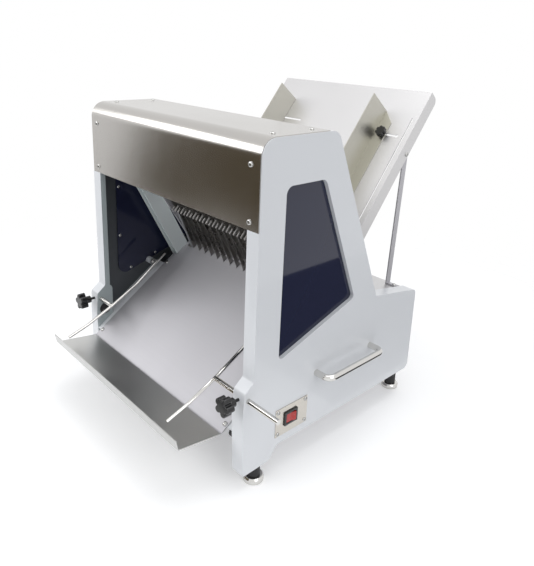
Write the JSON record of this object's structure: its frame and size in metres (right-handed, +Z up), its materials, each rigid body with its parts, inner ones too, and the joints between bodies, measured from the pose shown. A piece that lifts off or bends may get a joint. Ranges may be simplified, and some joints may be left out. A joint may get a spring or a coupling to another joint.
{
  "type": "bread slicer with crank",
  "caption": "Countertop bread slicer: two cast side panels, hood, sloping infeed and discharge trays, crossing blade frames on a belt-driven crankshaft.",
  "frame": {"origin": "midway between the four feet, on the surface they stand on", "axes": "+X towards the side with the switch, +Y towards the infeed side, +Z up"},
  "size_m": [0.6765, 0.7063, 0.6943],
  "materials": {
    "side_panel_right": "satin white paint",
    "side_panel_left": "satin white paint",
    "window_panes": "smoked, glossy",
    "hood": "brushed stainless",
    "tie_rods": "satin stainless",
    "ridge_bar": "satin stainless",
    "comb_bar": "satin stainless",
    "comb_fingers": "satin stainless",
    "discharge_tray": "satin stainless",
    "infeed_tray": "satin stainless",
    "struts": "satin stainless",
    "base_pan": "satin stainless",
    "rear_cover": "satin stainless",
    "cable_gland": "matt black",
    "blade_rails": "machined",
    "guide_blocks": "natural nylon",
    "shaft_bearings": "polished",
    "motor": "dark grey paint",
    "lug_buffers": "matt black",
    "switch_plate": "satin stainless",
    "switch_bezel": "gloss black",
    "handles": "polished",
    "foot_collars": "matt black",
    "hood_screws": "polished",
    "tray_screws": "polished",
    "cover_screws": "polished",
    "switch_screws": "polished",
    "rail_screws": "polished",
    "window_screws": "polished",
    "panel_bolts": "polished",
    "drive_belt": "matt black",
    "blade_frame_a": "satin stainless",
    "blades_a": "ground steel",
    "slide_shoes_a": "natural nylon",
    "blade_frame_b": "satin stainless",
    "blades_b": "ground steel",
    "slide_shoes_b": "natural nylon",
    "crankshaft": "turned steel",
    "main_pulley": "machined",
    "connecting_rods_a": "machined",
    "wrist_bolts_a": "polished",
    "connecting_rods_b": "machined",
    "wrist_bolts_b": "polished",
    "motor_shaft": "polished",
    "motor_pulley": "machined",
    "guide_rod_right": "polished",
    "guide_rod_left": "polished",
    "clamp_knob_right": "gloss black",
    "clamp_knob_left": "gloss black",
    "infeed_guide_right": "satin stainless",
    "guide_nut_right": "polished",
    "guide_knob_right": "gloss black",
    "infeed_guide_left": "satin stainless",
    "guide_nut_left": "polished",
    "guide_knob_left": "gloss black",
    "foot_front_right": "polished",
    "foot_front_left": "polished",
    "foot_rear_right": "polished",
    "foot_rear_left": "polished",
    "switch_rocker": "gloss red"
  },
  "bodies": {
    "chassis": {"side_panel_right": "side_panel_right", "side_panel_left": "side_panel_left", "window_panes": "window_panes", "hood": "hood", "tie_rods": "tie_rods", "ridge_bar": "ridge_bar", "comb_bar": "comb_bar", "comb_fingers": "comb_fingers", "discharge_tray": "discharge_tray", "infeed_tray": "infeed_tray", "struts": "struts", "base_pan": "base_pan", "rear_cover": "rear_cover", "cable_gland": "cable_gland", "blade_rails": "blade_rails", "guide_blocks": "guide_blocks", "shaft_bearings": "shaft_bearings", "motor": "motor", "lug_buffers": "lug_buffers", "switch_plate": "switch_plate", "switch_bezel": "switch_bezel", "handles": "handles", "foot_collars": "foot_collars", "hood_screws": "hood_screws", "tray_screws": "tray_screws", "cover_screws": "cover_screws", "switch_screws": "switch_screws", "rail_screws": "rail_screws", "window_screws": "window_screws", "panel_bolts": "panel_bolts", "drive_belt": "drive_belt"},
    "frame_a": {"blade_frame_a": "blade_frame_a", "blades_a": "blades_a", "slide_shoes_a": "slide_shoes_a"},
    "frame_b": {"blade_frame_b": "blade_frame_b", "blades_b": "blades_b", "slide_shoes_b": "slide_shoes_b"},
    "crank": {"crankshaft": "crankshaft", "main_pulley": "main_pulley"},
    "rods_a": {"connecting_rods_a": "connecting_rods_a", "wrist_bolts_a": "wrist_bolts_a"},
    "rods_b": {"connecting_rods_b": "connecting_rods_b", "wrist_bolts_b": "wrist_bolts_b"},
    "rotor": {"motor_shaft": "motor_shaft", "motor_pulley": "motor_pulley"},
    "guide_rod_right": {"guide_rod_right": "guide_rod_right"},
    "guide_rod_left": {"guide_rod_left": "guide_rod_left"},
    "clamp_right": {"clamp_knob_right": "clamp_knob_right"},
    "clamp_left": {"clamp_knob_left": "clamp_knob_left"},
    "infeed_guide_right": {"infeed_guide_right": "infeed_guide_right", "guide_nut_right": "guide_nut_right"},
    "infeed_guide_left": {"infeed_guide_left": "infeed_guide_left", "guide_nut_left": "guide_nut_left"},
    "guide_knob_right": {"guide_knob_right": "guide_knob_right"},
    "guide_knob_left": {"guide_knob_left": "guide_knob_left"},
    "foot_front_right": {"foot_front_right": "foot_front_right"},
    "foot_front_left": {"foot_front_left": "foot_front_left"},
    "foot_rear_right": {"foot_rear_right": "foot_rear_right"},
    "foot_rear_left": {"foot_rear_left": "foot_rear_left"},
    "rocker": {"switch_rocker": "switch_rocker"}
  },
  "joints": [
    {"name": "frame_a_slide", "type": "slide", "parent": "chassis", "child": "frame_a", "axis": [0, -0.4695, 0.8829], "range_m": [-0.015, 0.015]},
    {"name": "frame_b_slide", "type": "slide", "parent": "chassis", "child": "frame_b", "axis": [0, -0.4695, 0.8829], "range_m": [-0.015, 0.015]},
    {"name": "crank_spin", "type": "hinge", "parent": "chassis", "child": "crank", "pos_m": [0, 0.05293, 0.14548], "axis": [1, 0, 0], "continuous": true},
    {"name": "rods_a_pivot", "type": "hinge", "parent": "crank", "child": "rods_a", "pos_m": [0, 0.03969, 0.13844], "axis": [1, 0, 0], "continuous": true},
    {"name": "rods_b_pivot", "type": "hinge", "parent": "crank", "child": "rods_b", "pos_m": [0, 0.06618, 0.15253], "axis": [1, 0, 0], "continuous": true},
    {"name": "rotor_spin", "type": "hinge", "parent": "chassis", "child": "rotor", "pos_m": [0, 0.173, 0.15], "axis": [1, 0, 0], "continuous": true},
    {"name": "guide_rod_right_slide", "type": "slide", "parent": "chassis", "child": "guide_rod_right", "axis": [1, 0, 0], "range_m": [-0.06, 0.04]},
    {"name": "guide_rod_left_slide", "type": "slide", "parent": "chassis", "child": "guide_rod_left", "axis": [1, 0, 0], "range_m": [-0.025, 0.03]},
    {"name": "clamp_right_turn", "type": "hinge", "parent": "chassis", "child": "clamp_right", "pos_m": [0.265, -0.293, 0.189], "axis": [0, -1, 0], "continuous": true},
    {"name": "clamp_left_turn", "type": "hinge", "parent": "chassis", "child": "clamp_left", "pos_m": [-0.265, -0.293, 0.189], "axis": [0, -1, 0], "continuous": true},
    {"name": "infeed_guide_right_slide", "type": "slide", "parent": "chassis", "child": "infeed_guide_right", "axis": [1, 0, 0], "range_m": [-0.06, 0.035]},
    {"name": "infeed_guide_left_slide", "type": "slide", "parent": "chassis", "child": "infeed_guide_left", "axis": [1, 0, 0], "range_m": [-0.02, 0.075]},
    {"name": "guide_knob_right_turn", "type": "hinge", "parent": "infeed_guide_right", "child": "guide_knob_right", "pos_m": [0.159, 0.22739, 0.60109], "axis": [0, -0.7804, 0.6252], "continuous": true},
    {"name": "guide_knob_left_turn", "type": "hinge", "parent": "infeed_guide_left", "child": "guide_knob_left", "pos_m": [-0.174, 0.22739, 0.60109], "axis": [0, -0.7804, 0.6252], "continuous": true},
    {"name": "foot_front_right_turn", "type": "hinge", "parent": "chassis", "child": "foot_front_right", "pos_m": [0.265, -0.229, 0.012], "axis": [0, 0, 1], "continuous": true},
    {"name": "foot_front_left_turn", "type": "hinge", "parent": "chassis", "child": "foot_front_left", "pos_m": [-0.265, -0.229, 0.012], "axis": [0, 0, 1], "continuous": true},
    {"name": "foot_rear_right_turn", "type": "hinge", "parent": "chassis", "child": "foot_rear_right", "pos_m": [0.246, 0.229, 0.012], "axis": [0, 0, 1], "continuous": true},
    {"name": "foot_rear_left_turn", "type": "hinge", "parent": "chassis", "child": "foot_rear_left", "pos_m": [-0.246, 0.229, 0.012], "axis": [0, 0, 1], "continuous": true},
    {"name": "rocker_tilt", "type": "hinge", "parent": "chassis", "child": "rocker", "pos_m": [0.2805, -0.1535, 0.1105], "axis": [0, 0, 1], "range_deg": [0, 18]}
  ],
  "couplings": [
    {"joint": "frame_b_slide", "follows": "frame_a_slide", "ratio": -1},
    {"joint": "rods_a_pivot", "follows": "crank_spin", "ratio": -1},
    {"joint": "rods_b_pivot", "follows": "crank_spin", "ratio": -1},
    {"joint": "rotor_spin", "follows": "crank_spin", "ratio": 2}
  ]
}
